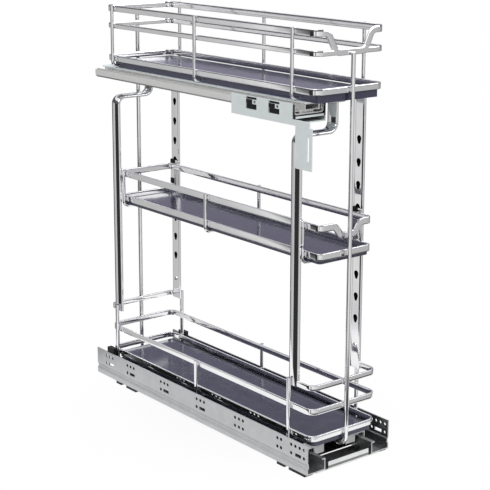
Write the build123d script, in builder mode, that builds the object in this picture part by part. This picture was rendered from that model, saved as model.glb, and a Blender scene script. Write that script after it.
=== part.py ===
from build123d import *
import os
from math import radians, tan

os.makedirs("parts", exist_ok=True)

# Pull-out organizer for a base cabinet, in millimetres.
# X runs across the cabinet, Y from the front to the rear, Z up. The near side, at the left of a
# person facing the front, is at -X. The origin is on the cabinet floor, under the middle of the base.
# Places along Y, other than derived ones, are counted from the front end of the side plates.

# Overall sizes
length = 533.0
width = 156.0
foot_height = 4.0

# Metal stock and running gap
plate_sheet = 1.8
thin_sheet = 1.5
bar = 3.0
gap = 0.3

# Base rails: side plate, floor flange and hooked upstand
plate_height = 43.0
bead_depth = 1.5
bead_low = 8.5
bead_height = 8.0
upstand_inset = 33.0
upstand_height = 18.0
head_reach = 5.5

# Hole pattern of the side plates
hole_radius = 2.5
hole_sides = 8
cluster_first = 151.5
cluster_end = 98.6
cluster_count = 4
rear_cluster_from_end = 37.5
hole_step = 9.25
top_row = 35.5
low_row = 23.0
pair_first = 56.0
pair_step = 8.0
front_first = 7.0
front_step = 9.0
slot_length = 14.0
slot_width = 5.0
slot_before = 4.5
front_slot = 20.0

# Cross strips, pads, stops and buffer
strip_width = 40.0
strip_inset = 18.0
strip_lip = 10.5
lip_clear = 1.0
pad_width = 15.0
front_pads = ((5.0, 39.0), (49.0, 65.0))
rear_pads = ((-112.0, -85.0), (-70.0, -56.0))
stop_thickness = 7.6
stop_length = 18.0
stop_end = 28.0
stop_low = 37.0
stop_height = 14.0
buffer_x = 11.0
buffer_width = 16.0
buffer_depth = 6.0
buffer_height = 8.0

# Floor runners
glide = 1.9
member_half = 7.5
member_depth = 16.5
member_front = 34.0
member_end = 21.0
runner_inner = 21.0
runner_inset = 20.0
runner_rise = 3.0
runner_depth = 15.0
runner_front = 32.0
runner_end = 28.0
runner_glide_half = 6.0
cap_thickness = 3.0
cap_clear = 0.5

# Rails and boards common to the fixed baskets
rail_front = 10.0
rail_end = 20.0
corner = 14.0
board_inset = 23.0
board_front = 13.5
board_end = 12.0
board_corner = 6.0
wire_bend = 8.0
wire_sides = 12
post_front = 56.0
post_middle = 274.0
post_end = 43.0

# Bottom basket
tray_inset = 15.8
tray_wire = 6.0
tray_board = 7.5
tray_rail = 8.6
tray_upper_rise = 39.5
tray_upper_rail = 8.9
hoop_rise = 75.0
hoop_height = 8.0
hoop_straight = 1.0
post_lap = 11.0

# Legs
leg_thickness = 6.0
leg_width = 19.5
leg_wall = 1.2
leg_edge = 1.5
leg_rise = 74.0
leg_front = 52.0
leg_end = 19.5
leg_bend = 12.0
leg_bar_height = 472.0
riser_x = 5.0
teardrop_first = 193.9
teardrop_pitch = 32.65
teardrop_count = 9
teardrop_neck = 2.6
teardrop_head = 4.4
teardrop_foot = 7.0
teardrop_waist = 1.0
teardrop_top = 5.5
bolt_rise = 34.0
bolt_radius = 3.5
bolt_head = 2.0

# Centre rod
rod = 6.2
rod_bend = 14.0

# Middle shelf
shelf_front = 14.0
shelf_end = 17.0
shelf_corner = 8.0
shelf_wire = 5.0
shelf_board = 7.0
shelf_rail = 10.0
shelf_slot_count = 4
shelf_lower_rise = 5.0
shelf_upper_rise = 45.0
shelf_post_front = 46.0
shelf_post_middle = 267.0
shelf_post_end = 11.0
shelf_hang = 20.0
shelf_drop = 15.0
shelf_flat = (-8.0, 17.0)
shelf_out = (-20.0, 27.0)
hook_sheet = 1.8
hook_width = 19.0
hook_height = 39.0
hook_gap = 0.4
peg_radius = 2.0
peg_above_foot = 3.0

# Telescopic rail under the top basket
channel_inset = 3.8
channel_width = 52.4
channel_height = 12.3
channel_chamfer = 2.5
channel_front = 40.0
channel_end = 6.0
slide_play = 1.7
top_member_height = 10.0
top_member_front = 45.0
top_member_end = 8.0
top_glide_half = 12.0
top_runner_half = 12.0
top_runner_depth = 10.0
top_runner_front = 34.0
top_runner_end = 13.0
slide_block_front = 60.0
slide_block_end = 23.0
slide_block_length = 70.0

# Bracket that carries the telescopic rail on the cabinet wall
bracket_span = (40.0, 170.0)
bracket_low = 497.0
bracket_lap = 3.8
bracket_near_height = 20.5
bracket_far_height = 16.0
arm_depth = 8.0
arm_front = 5.0
hang_width = 33.0
hang_height = 57.0
window_first = 66.0
window_pitch = 48.5
window_length = 23.0
window_low = 2.5
window_low_height = 7.6
window_high = 16.2
window_high_height = 3.3
tongue_hole_radius = 2.2
tongue_hole_y = 4.5
tongue_hole_rise = 13.1
hang_slot_y = 7.0
hang_slot_length = 32.0
hang_slot_width = 4.0
sleeve_span = (38.5, 168.0)
sleeve_floor = 4.2
sleeve_wall = 1.5
sleeve_near_height = 19.0
sleeve_far_height = 16.0

# Top basket and its support plate
support_rise = 15.5
support_sheet = 1.5
support_inset = 16.0
support_right = 8.0
support_front = 30.0
support_end = 3.0
support_corner = 8.0
top_inset = 15.3
top_wire = 5.0
top_board = 10.5
top_rail = 9.0
top_middle_rise = 62.0
top_middle_rail = 7.7
top_upper_rise = 88.0
top_upper_rail = 9.5
top_drop = 27.0
top_flat = (-27.0, 26.0)
top_out = (-42.0, 38.0)

# Places that follow from the sizes above
front = -length / 2
rail_rear = length - rail_end
board_rear = rail_rear - board_end
leg_rear = rail_rear - leg_end
shelf_rear = rail_rear - shelf_end
support_rear = length - support_end
post_places = (post_front, post_middle, length - post_end)
shelf_posts = (shelf_post_front, shelf_post_middle, shelf_rear - shelf_post_end)
cluster_pitch = (length - cluster_end - cluster_first) / (cluster_count - 1)
pad_spans = (*front_pads, *((length + start, length + end) for start, end in rear_pads))
stop_span = (length - stop_end - stop_length, length - stop_end)
member_span = (member_front, length - member_end)
runner_span = (runner_front, length - runner_end)
channel_span = (channel_front, length - channel_end)
top_member_span = (top_member_front, length - top_member_end)
top_runner_span = (top_runner_front, length - top_runner_end)
slide_block_places = (slide_block_front, length - slide_block_end - slide_block_length)
half_width = width / 2
plate_inner = half_width - plate_sheet
upstand_x = half_width - upstand_inset
strip_reach = half_width - strip_inset
runner_outer = half_width - runner_inset
board_half_width = half_width - board_inset
tray_half_width = half_width - tray_inset
channel_left = half_width - channel_inset
channel_right = channel_left - channel_width
bracket_right = channel_right - bracket_lap
support_left = half_width - support_inset
top_half_width = half_width - top_inset
floor_top = foot_height + plate_sheet
head_top = foot_height + upstand_height
member_x = upstand_x + head_reach / 2
lip_reach = member_x - member_half - thin_sheet / 2 - lip_clear
member_under = head_top + gap + glide
member_top = member_under + thin_sheet
runner_under = member_top + runner_rise
runner_top = runner_under + thin_sheet
tray_wire_z = runner_top + tray_wire / 2
tray_board_low = tray_wire_z + tray_wire / 2
tray_top = tray_board_low + tray_board
leg_low = tray_top + leg_rise
leg_outer = tray_half_width
leg_middle = leg_outer - leg_thickness / 2
leg_inner = leg_outer - leg_thickness
channel_floor = bracket_low + sleeve_floor + gap
channel_low = channel_floor + thin_sheet / 2
support_low = channel_floor + support_rise
support_top = support_low + support_sheet
top_wire_z = support_top + top_wire / 2
top_board_top = support_top + top_board
rod_low = tray_wire_z - tray_wire / 2 - rod / 2
rod_front = rail_front - rod / 2
rod_rear = rail_rear + rod / 2
channel_x = -(channel_left + channel_right) / 2
channel_half = (channel_left - channel_right) / 2
top_member_half = channel_half - slide_play - thin_sheet
top_member_low = channel_floor + thin_sheet + gap + glide
peg_low = teardrop_first + teardrop_pitch * shelf_slot_count - teardrop_foot + peg_radius + gap
hook_low = peg_low - peg_above_foot
shelf_board_low = hook_low - shelf_hang
shelf_lower_low = shelf_board_low + shelf_lower_rise
shelf_upper_low = shelf_board_low + shelf_upper_rise
shelf_wire_z = shelf_board_low - shelf_wire / 2
hook_inner = leg_inner - hook_gap - hook_sheet
shelf_half_width = hook_inner - shelf_wire
shelf_post_x = shelf_half_width + shelf_wire / 2

teardrop = (
    (-teardrop_neck, -teardrop_foot),
    (teardrop_neck, -teardrop_foot),
    (teardrop_neck, -teardrop_foot / 2),
    (teardrop_head, teardrop_waist),
    (teardrop_neck, teardrop_top),
    (-teardrop_neck, teardrop_top),
    (-teardrop_head, teardrop_waist),
    (-teardrop_neck, -teardrop_foot / 2),
)


def block(x_span, y_span, z_span):
    """A plain block between three pairs of limits."""
    with BuildPart() as solid:
        with BuildSketch(Plane.XY.offset(z_span[0])):
            with Locations(((x_span[0] + x_span[1]) / 2, front + (y_span[0] + y_span[1]) / 2)):
                Rectangle(abs(x_span[1] - x_span[0]), y_span[1] - y_span[0])
        extrude(amount=z_span[1] - z_span[0])
    return solid.part


def bent_sheet(points, thickness, y_span):
    """A bent sheet or bar: its section in XZ follows the points, and it runs along y_span."""
    with BuildPart() as sheet:
        with BuildSketch(Plane.XZ.offset(-(front + y_span[0]))):
            with BuildLine():
                Polyline(*points)
            trace(line_width=thickness)
        extrude(amount=-(y_span[1] - y_span[0]))
    return sheet.part


def board(half, y_front, y_rear, low, thickness, radius):
    """A tray board with rounded corners."""
    with BuildPart() as panel:
        with BuildSketch(Plane.XY.offset(low)):
            with Locations((0, front + (y_front + y_rear) / 2)):
                RectangleRounded(2 * half, y_rear - y_front, radius)
        extrude(amount=thickness)
    return panel.part


def rail_ring(half, y_front, y_rear, low, height, radius):
    """A flat bar bent round a basket on edge."""
    with BuildPart() as ring:
        with BuildSketch(Plane.XY.offset(low)):
            with Locations((0, front + (y_front + y_rear) / 2)):
                RectangleRounded(2 * half, y_rear - y_front, radius)
                RectangleRounded(
                    2 * (half - bar), y_rear - y_front - 2 * bar, radius - bar, mode=Mode.SUBTRACT
                )
        extrude(amount=height)
    return ring.part


def dipped_run(straight, level, drop, flat, out):
    """Points of a front run whose middle is let down, so that a hand reaches in."""
    return (
        (-straight, level),
        (out[0], level),
        (flat[0], level - drop),
        (flat[1], level - drop),
        (out[1], level),
        (straight, level),
    )


def dipped_ring(half, y_front, y_rear, low, height, radius, dip):
    """An upper rail whose front run dips."""
    straight = half - radius
    level = low + height / 2
    with BuildPart() as ring:
        add(rail_ring(half, y_front, y_rear, low, height, radius))
        with BuildSketch(Plane.XZ.offset(-(front + y_front))):
            with Locations((0, level)):
                Rectangle(2 * straight, height)
        extrude(amount=-bar, mode=Mode.SUBTRACT)
        add(bent_sheet(dipped_run(straight, level, *dip), height, (y_front, y_front + bar)))
    return ring.part


def u_wires(half_spacing, foot, places, tops, diameter):
    """U-shaped wires under a tray: each has its foot at one height and two posts."""
    cut = wire_bend * (1 - tan(radians(22.5)))
    radius = diameter / 2
    with BuildPart() as wires:
        for place, top in zip(places, tops):
            with BuildLine(Plane.XZ.offset(-(front + place))):
                Polyline(
                    (-half_spacing, top),
                    (-half_spacing, foot + cut),
                    (-half_spacing + cut, foot),
                    (half_spacing - cut, foot),
                    (half_spacing, foot + cut),
                    (half_spacing, top),
                )
            start = Plane((-half_spacing, front + place, top), x_dir=(1, 0, 0), z_dir=(0, 0, -1))
            with BuildSketch(start):
                RegularPolygon(radius, wire_sides)
            sweep(transition=Transition.RIGHT)
    return wires.part


def end_hoop(y_end, y_leg):
    """A flat bar bent round one end of the bottom basket, from leg to leg."""
    middle = tray_half_width - bar / 2
    run = front + y_end + (bar / 2 if y_leg > y_end else -bar / 2)
    bend = min(corner - bar / 2, abs(front + y_leg - run) - hoop_straight)
    with BuildPart() as hoop:
        with BuildSketch(Plane.XY.offset(tray_top + hoop_rise)):
            with BuildLine():
                FilletPolyline(
                    (-middle, front + y_leg),
                    (-middle, run),
                    (middle, run),
                    (middle, front + y_leg),
                    radius=bend,
                )
            trace(line_width=bar)
        extrude(amount=hoop_height)
    return hoop.part


def base_rail(side):
    """A side plate with its floor flange and the hooked upstand that carries the runner."""
    wall = half_width - plate_sheet / 2
    bead_foot = foot_height + bead_low
    bead_head = bead_foot + bead_height
    flange = foot_height + plate_sheet / 2
    hook = head_top - plate_sheet / 2
    outline = (
        (wall, foot_height + plate_height),
        (wall, bead_head),
        (wall - bead_depth, bead_head - bead_depth),
        (wall - bead_depth, bead_foot + bead_depth),
        (wall, bead_foot),
        (wall, flange),
        (upstand_x, flange),
        (upstand_x, hook),
        (upstand_x + head_reach, hook),
    )
    top = foot_height + top_row
    low = foot_height + low_row
    clusters = [cluster_first + cluster_pitch * k for k in range(cluster_count)]
    rear = length - rear_cluster_from_end
    marks = [(place + hole_step * k, top) for place in clusters + [rear] for k in (-1, 0, 1)]
    marks += [(cluster_first - hole_step, low), (cluster_first, low), (rear + hole_step, low)]
    marks += [(pair_first + pair_step * k, z) for k in (0, 1) for z in (top, low)]
    marks += [(front_first + front_step * k, top) for k in range(4)]
    marks += [(front_first, low), (front_first + 3 * front_step, low)]
    slots = [place - slot_before for place in clusters[1:] + [rear]] + [front_slot]
    with BuildPart() as rail:
        add(bent_sheet([(side * x, z) for x, z in outline], plate_sheet, (0, length)))
        with BuildSketch(Plane.YZ.offset(side * half_width)):
            with Locations(*[(front + place + hole_step, low) for place in clusters]):
                Circle(hole_radius)
            with Locations(*[(front + y, z) for y, z in marks]):
                RegularPolygon(hole_radius, hole_sides)
            with Locations(*[(front + y, low) for y in slots]):
                Rectangle(slot_length, slot_width)
        extrude(amount=-side * 2 * plate_sheet, mode=Mode.SUBTRACT)
    return rail.part


def cross_strip(y_span, lip_start):
    """A flat strip under both floor flanges, turned up along its outer edge."""
    with BuildPart() as strip:
        add(block((-strip_reach, strip_reach), y_span, (foot_height - thin_sheet, foot_height)))
        lip = (lip_start, lip_start + thin_sheet)
        add(block((-lip_reach, lip_reach), lip, (foot_height, foot_height + strip_lip)))
    return strip.part


def floor_pads():
    """Black pads under the side plates, on which the whole base rests."""
    with BuildPart() as pads:
        for side in (-1, 1):
            for span in pad_spans:
                outer = side * half_width
                add(block(sorted((outer, outer - side * pad_width)), span, (0, foot_height)))
    return pads.part


def rear_stops():
    """Stop blocks on the inner faces of the side plates."""
    with BuildPart() as stops:
        for side in (-1, 1):
            x_span = sorted((side * plate_inner, side * (plate_inner - stop_thickness)))
            low = foot_height + stop_low
            add(block(x_span, stop_span, (low, low + stop_height)))
    return stops.part


def floor_member(side):
    """The intermediate member of a floor runner, an upside-down channel over the upstand's head."""
    roof = member_top - thin_sheet / 2
    foot = member_top - member_depth
    x_low = side * member_x - member_half
    x_high = side * member_x + member_half
    return bent_sheet(((x_low, foot), (x_low, roof), (x_high, roof), (x_high, foot)), thin_sheet, member_span)


def floor_glide(side):
    """The glide strip under the roof of the intermediate member."""
    half = head_reach / 2 + plate_sheet / 2
    x_span = (side * member_x - half, side * member_x + half)
    return block(x_span, member_span, (head_top + gap, member_under))


def runner_shell(side):
    """The moving runner under the tray, an upside-down channel."""
    roof = runner_top - thin_sheet / 2
    foot = runner_top - runner_depth
    x_in = side * (runner_inner + thin_sheet / 2)
    x_out = side * (runner_outer - thin_sheet / 2)
    return bent_sheet(((x_in, foot), (x_in, roof), (x_out, roof), (x_out, foot)), thin_sheet, runner_span)


def runner_glide(side):
    """The glide strip between the intermediate member and the runner's roof."""
    x_span = (side * member_x - runner_glide_half, side * member_x + runner_glide_half)
    return block(x_span, runner_span, (member_top + gap, runner_under))


def runner_cap(side):
    """The pale cap on the front end of a runner, cut out where the fixed hook passes."""
    cap_front = runner_span[0] - cap_thickness
    x_span = sorted((side * runner_inner, side * runner_outer))
    half = member_half + thin_sheet / 2 + cap_clear
    foot = runner_top - runner_depth
    with BuildPart() as cap:
        add(block(x_span, (cap_front, runner_span[0]), (foot, tray_board_low)))
        notch = (side * member_x - half, side * member_x + half)
        add(block(notch, (cap_front, runner_span[0]), (foot, member_top + gap)), mode=Mode.SUBTRACT)
    return cap.part


def leg(points, inner_x, place):
    """A flat tube along the points, closed at its ends, with teardrop slots in its inner wall."""
    y_low = front + place - leg_width / 2
    with BuildPart() as tube:
        for inset, thick, deep, mode in (
            (0, leg_thickness, 0, Mode.ADD),
            (leg_wall, leg_thickness - 2 * leg_wall, leg_edge, Mode.SUBTRACT),
        ):
            ends = [(points[0][0], points[0][1] + inset), (points[-1][0], points[-1][1] - inset)]
            with BuildSketch(Plane.XZ.offset(-(y_low + deep))):
                with BuildLine():
                    if len(points) > 2:
                        FilletPolyline(ends[0], *points[1:-1], ends[1], radius=leg_bend)
                    else:
                        Line(*ends)
                trace(line_width=thick)
            extrude(amount=-(leg_width - 2 * deep), mode=mode)
            if mode == Mode.ADD:
                rims = tube.edges().filter_by(Axis.Y, reverse=True).group_by(Axis.Y)
                chamfer(rims[0] + rims[-1], length=leg_edge)
        with BuildSketch(Plane.YZ.offset(inner_x)):
            with Locations(
                *[(front + place, teardrop_first + teardrop_pitch * k) for k in range(teardrop_count)]
            ):
                Polygon(*teardrop, align=None)
        side = 1 if inner_x > 0 else -1
        extrude(amount=side * leg_thickness / 2, mode=Mode.SUBTRACT)
    return tube.part


def leg_bolts():
    """Button heads on the legs' inner faces."""
    with BuildPart() as bolts:
        for side in (-1, 1):
            with BuildSketch(Plane.YZ.offset(side * leg_inner)):
                with Locations(*[(front + place, leg_low + bolt_rise) for place in (leg_front, leg_rear)]):
                    RegularPolygon(bolt_radius, hole_sides)
            extrude(amount=-side * bolt_head)
    return bolts.part


def hook_plates():
    """Plates at the shelf's corners, each with two pegs that hang in the legs' slots."""
    with BuildPart() as plates:
        for side in (-1, 1):
            face = side * (leg_inner - hook_gap)
            for place in (leg_front, leg_rear):
                span = (place - hook_width / 2, place + hook_width / 2)
                add(block(sorted((face, side * hook_inner)), span, (hook_low, hook_low + hook_height)))
            with BuildSketch(Plane.YZ.offset(face)):
                with Locations(
                    *[
                        (front + place, peg_low + teardrop_pitch * k)
                        for place in (leg_front, leg_rear)
                        for k in (0, 1)
                    ]
                ):
                    RegularPolygon(peg_radius, hole_sides)
            extrude(amount=side * (hook_gap + leg_wall))
    return plates.part


top_dip = (top_drop, top_flat, top_out)
top_upper_low = top_board_top + top_upper_rise - top_board
top_run_level = top_upper_low + top_upper_rail / 2
top_straight = top_half_width - corner

with BuildPart() as centre_rod:
    with BuildLine(Plane.YZ) as rod_route:
        rod_cut = rod_bend * (1 - tan(radians(22.5)))
        Polyline(
            (front + rod_front, top_run_level - top_drop),
            (front + rod_front, rod_low + rod_cut),
            (front + rod_front + rod_cut, rod_low),
            (front + rod_rear - rod_cut, rod_low),
            (front + rod_rear, rod_low + rod_cut),
            (front + rod_rear, top_run_level),
        )
    with BuildSketch(Plane((0, front + rod_front, top_run_level - top_drop), x_dir=(1, 0, 0), z_dir=(0, 0, -1))):
        RegularPolygon(rod / 2, wire_sides)
    sweep(transition=Transition.RIGHT)

with BuildPart() as front_buffer:
    add(
        block(
            (buffer_x - buffer_width / 2, buffer_x + buffer_width / 2),
            (thin_sheet, thin_sheet + buffer_depth),
            (foot_height, foot_height + buffer_height),
        )
    )

with BuildPart() as top_channel:
    wall_near = channel_left - thin_sheet / 2
    wall_far = channel_right + thin_sheet / 2
    add(
        bent_sheet(
            (
                (-wall_near, channel_floor + channel_height),
                (-wall_near, channel_low + channel_chamfer),
                (channel_chamfer - wall_near, channel_low),
                (-channel_chamfer - wall_far, channel_low),
                (-wall_far, channel_low + channel_chamfer),
                (-wall_far, channel_floor + channel_height),
            ),
            thin_sheet,
            channel_span,
        )
    )

# One folded plate: hanging plate, arm and windowed wall in the cabinet's side plane, a floor under the
# channel and a far wall that grips it.
with BuildPart() as channel_bracket:
    arm_low = bracket_low - arm_depth
    bracket_middle = front + sum(bracket_span) / 2
    bracket_length = bracket_span[1] - bracket_span[0]
    window_places = [front + window_first + window_pitch * k for k in (0, 1)]
    with BuildSketch(Plane.YZ.offset(-half_width)):
        with Locations((front + hang_width / 2, arm_low - hang_height / 2)):
            Rectangle(hang_width, hang_height)
        with Locations((front + (arm_front + bracket_span[1]) / 2, arm_low + arm_depth / 2)):
            Rectangle(bracket_span[1] - arm_front, arm_depth)
        with Locations((bracket_middle, bracket_low + bracket_near_height / 2)):
            Rectangle(bracket_length, bracket_near_height)
        with Locations(*[(y + window_length / 2, bracket_low + window_low) for y in window_places]):
            cut_from = (Align.CENTER, Align.MIN)
            Rectangle(window_length, window_low_height, align=cut_from, mode=Mode.SUBTRACT)
        with Locations(*[(y + window_length / 2, bracket_low + window_high) for y in window_places]):
            Rectangle(window_length, window_high_height, align=cut_from, mode=Mode.SUBTRACT)
        with Locations(*[(y + tongue_hole_y, bracket_low + tongue_hole_rise) for y in window_places]):
            Circle(tongue_hole_radius, mode=Mode.SUBTRACT)
        with Locations((front + hang_slot_y, arm_low - hang_height / 2)):
            Rectangle(hang_slot_width, hang_slot_length, mode=Mode.SUBTRACT)
    extrude(amount=plate_sheet)
    add(block((-half_width, -bracket_right), bracket_span, (arm_low, arm_low + plate_sheet)))
    far_wall = (-bracket_right - plate_sheet, -bracket_right)
    add(block(far_wall, bracket_span, (arm_low, bracket_low + bracket_far_height)))

# Black sleeve that seats the channel in the bracket
with BuildPart() as channel_sleeve:
    sleeve_near = channel_left + gap + sleeve_wall
    sleeve_far = channel_right - gap - sleeve_wall
    add(block((-sleeve_near, -sleeve_far), sleeve_span, (bracket_low, bracket_low + sleeve_floor)))
    for wall, rise in (
        ((-sleeve_near, sleeve_wall - sleeve_near), sleeve_near_height),
        ((-sleeve_far - sleeve_wall, -sleeve_far), sleeve_far_height),
    ):
        add(block(wall, sleeve_span, (bracket_low, bracket_low + rise)))

with BuildPart() as top_member:
    member_near = channel_x - top_member_half
    member_far = channel_x + top_member_half
    member_level = top_member_low + thin_sheet / 2
    add(
        bent_sheet(
            (
                (member_near, top_member_low + top_member_height),
                (member_near, member_level),
                (member_far, member_level),
                (member_far, top_member_low + top_member_height),
            ),
            thin_sheet,
            top_member_span,
        )
    )

with BuildPart() as top_member_glide:
    add(
        block(
            (channel_x - top_glide_half, channel_x + top_glide_half),
            top_member_span,
            (top_member_low - glide, top_member_low),
        )
    )

with BuildPart() as top_runner:
    runner_roof_level = support_low - thin_sheet / 2
    add(
        bent_sheet(
            (
                (channel_x - top_runner_half, support_low - top_runner_depth),
                (channel_x - top_runner_half, runner_roof_level),
                (channel_x + top_runner_half, runner_roof_level),
                (channel_x + top_runner_half, support_low - top_runner_depth),
            ),
            thin_sheet,
            top_runner_span,
        )
    )

with BuildPart() as slide_blocks:
    for block_start in slide_block_places:
        add(
            block(
                (channel_x - top_runner_half + thin_sheet / 2, channel_x + top_runner_half - thin_sheet / 2),
                (block_start, block_start + slide_block_length),
                (top_member_low + thin_sheet + gap, support_low - thin_sheet),
            )
        )

with BuildPart() as support_plate:
    with BuildSketch(Plane.XY.offset(support_low)):
        with Locations(((support_right - support_left) / 2, front + (support_front + support_rear) / 2)):
            RectangleRounded(support_left + support_right, support_rear - support_front, support_corner)
        with Locations((0, front + rail_rear)):
            rod_notch = (rod + 2 * gap, support_rear - rail_rear)
            Rectangle(*rod_notch, align=(Align.CENTER, Align.MIN), mode=Mode.SUBTRACT)
    extrude(amount=support_sheet)

with BuildPart() as top_board_panel:
    add(board(board_half_width, board_front, board_rear, support_top, top_board, board_corner))
    for place in post_places:
        groove = (place - top_wire / 2 - gap / 3, place + top_wire / 2 + gap / 3)
        add(
            block((-board_half_width, board_half_width), groove, (support_top, support_top + top_wire + gap)),
            mode=Mode.SUBTRACT,
        )

with BuildPart() as top_middle_rail_ring:
    add(
        rail_ring(top_half_width, rail_front, rail_rear, support_top + top_middle_rise, top_middle_rail, corner)
    )
    add(
        bent_sheet(
            dipped_run(top_straight, top_run_level, *top_dip), top_upper_rail, (rail_front, rail_front + bar)
        ),
        mode=Mode.SUBTRACT,
    )

tray_posts_top = (leg_low + post_lap, tray_top + tray_upper_rise + tray_upper_rail, leg_low + post_lap)
leg_top = support_top
near_path = (
    (-leg_middle, leg_low),
    (-leg_middle, leg_bar_height),
    (riser_x, leg_bar_height),
    (riser_x, support_low),
)
far_path = ((leg_middle, leg_low), (leg_middle, leg_top))
shelf_dip = (shelf_drop, shelf_flat, shelf_out)
shelf_post_top = shelf_upper_low + shelf_rail
top_post_top = top_upper_low + top_upper_rail

pieces = {
    "left_base_rail": base_rail(-1),
    "right_base_rail": base_rail(1),
    "front_cross_strip": cross_strip((0, strip_width), 0),
    "rear_cross_strip": cross_strip((length - strip_width, length), length - thin_sheet),
    "floor_pads": floor_pads(),
    "rear_stop_blocks": rear_stops(),
    "front_buffer": front_buffer.part,
    "top_channel": top_channel.part,
    "channel_bracket": channel_bracket.part,
    "channel_sleeve": channel_sleeve.part,
    "left_floor_member": floor_member(-1),
    "right_floor_member": floor_member(1),
    "left_floor_glide": floor_glide(-1),
    "right_floor_glide": floor_glide(1),
    "top_member": top_member.part,
    "top_member_glide": top_member_glide.part,
    "left_runner": runner_shell(-1),
    "right_runner": runner_shell(1),
    "left_runner_cap": runner_cap(-1),
    "right_runner_cap": runner_cap(1),
    "left_runner_glide": runner_glide(-1),
    "right_runner_glide": runner_glide(1),
    "bottom_board": board(
        board_half_width, board_front, board_rear, tray_board_low, tray_board, board_corner
    ),
    "bottom_lower_rail": rail_ring(tray_half_width, rail_front, rail_rear, tray_top, tray_rail, corner),
    "bottom_upper_rail": rail_ring(
        tray_half_width, rail_front, rail_rear, tray_top + tray_upper_rise, tray_upper_rail, corner
    ),
    "front_end_hoop": end_hoop(rail_front, leg_front - leg_width / 2),
    "rear_end_hoop": end_hoop(rail_rear, leg_rear + leg_width / 2),
    "bottom_side_wires": u_wires(
        tray_half_width + tray_wire / 2, tray_wire_z, post_places, tray_posts_top, tray_wire
    ),
    "centre_rod": centre_rod.part,
    "front_near_leg": leg(near_path, -leg_inner, leg_front),
    "rear_near_leg": leg(near_path, -leg_inner, leg_rear),
    "front_far_leg": leg(far_path, leg_inner, leg_front),
    "rear_far_leg": leg(far_path, leg_inner, leg_rear),
    "leg_bolts": leg_bolts(),
    "top_runner": top_runner.part,
    "top_slide_blocks": slide_blocks.part,
    "top_support_plate": support_plate.part,
    "top_board": top_board_panel.part,
    "top_lower_rail": rail_ring(top_half_width, rail_front, rail_rear, top_board_top, top_rail, corner),
    "top_middle_rail": top_middle_rail_ring.part,
    "top_upper_rail": dipped_ring(
        top_half_width, rail_front, rail_rear, top_upper_low, top_upper_rail, corner, top_dip
    ),
    "top_side_wires": u_wires(
        top_half_width + top_wire / 2, top_wire_z, post_places, [top_post_top] * 3, top_wire
    ),
    "shelf_board": board(
        shelf_half_width - bar - gap,
        shelf_front + bar + gap,
        shelf_rear - bar - gap,
        shelf_board_low,
        shelf_board,
        shelf_corner - bar,
    ),
    "shelf_lower_rail": rail_ring(
        shelf_half_width, shelf_front, shelf_rear, shelf_lower_low, shelf_rail, shelf_corner
    ),
    "shelf_upper_rail": dipped_ring(
        shelf_half_width, shelf_front, shelf_rear, shelf_upper_low, shelf_rail, shelf_corner, shelf_dip
    ),
    "shelf_side_wires": u_wires(shelf_post_x, shelf_wire_z, shelf_posts, [shelf_post_top] * 3, shelf_wire),
    "shelf_hook_plates": hook_plates(),
}

for name, piece in pieces.items():
    piece.label = name
    export_step(piece, f"parts/{name}.step")
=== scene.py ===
import math

import bpy
from mathutils import Euler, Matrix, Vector


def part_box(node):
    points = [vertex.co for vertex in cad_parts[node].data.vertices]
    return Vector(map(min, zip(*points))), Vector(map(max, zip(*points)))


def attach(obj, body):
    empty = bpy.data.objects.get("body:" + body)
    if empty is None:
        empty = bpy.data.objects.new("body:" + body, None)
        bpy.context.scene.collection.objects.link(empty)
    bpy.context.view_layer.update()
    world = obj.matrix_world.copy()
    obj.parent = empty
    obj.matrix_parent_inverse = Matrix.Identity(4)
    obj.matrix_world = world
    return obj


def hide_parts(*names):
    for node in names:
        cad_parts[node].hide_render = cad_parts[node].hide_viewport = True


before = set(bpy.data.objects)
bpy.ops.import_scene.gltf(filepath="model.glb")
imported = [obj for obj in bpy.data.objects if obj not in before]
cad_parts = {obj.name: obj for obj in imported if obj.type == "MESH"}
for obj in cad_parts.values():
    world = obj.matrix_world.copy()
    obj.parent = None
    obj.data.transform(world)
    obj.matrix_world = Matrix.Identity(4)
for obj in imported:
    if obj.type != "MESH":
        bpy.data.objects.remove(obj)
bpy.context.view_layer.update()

# Sizes in metres. Places along the depth are counted from the front ends of the side plates.
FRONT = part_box("left_base_rail")[0].y

# Rails and wires
BAR = 0.003
BAR_EDGE = 0.0007
BAR_CROWN = 0.0001
HOOP_STRAIGHT = 0.001
RAIL_CORNER = 0.014
SHELF_CORNER = 0.008
DIP_BEND = 0.011
TOP_HANDLE_HEIGHT = 0.0095
TOP_DIP = (-0.027, 0.026)
TOP_DIP_START = (-0.042, 0.038)
SHELF_HANDLE_HEIGHT = 0.010
SHELF_DIP = (-0.008, 0.017)
SHELF_DIP_START = (-0.020, 0.027)
TRAY_WIRE = 0.006
BASKET_WIRE = 0.005
WIRE_BEND = 0.008
WIRE_PLACES = (0.056, 0.274, 0.490)
SHELF_WIRE_PLACES = (0.046, 0.267, 0.485)
ROD = 0.0031
ROD_BEND = 0.014
ROD_OVERLAP = 0.004

# Legs and their keyhole slots
LEG_THICKNESS = 0.006
LEG_CROWN = 0.0025
LEG_EDGE = 0.0008
LEG_BEND = 0.012
LEG_BAR_HEIGHT = 0.472
SLOT_FIRST = 0.1939
SLOT_PITCH = 0.03265
SLOT_COUNT = 9
SLOT_HEAD = 0.0044
SLOT_FOOT = 0.0027
SLOT_DROP = 0.0054
SLOT_DEPTH = 0.003

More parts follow.
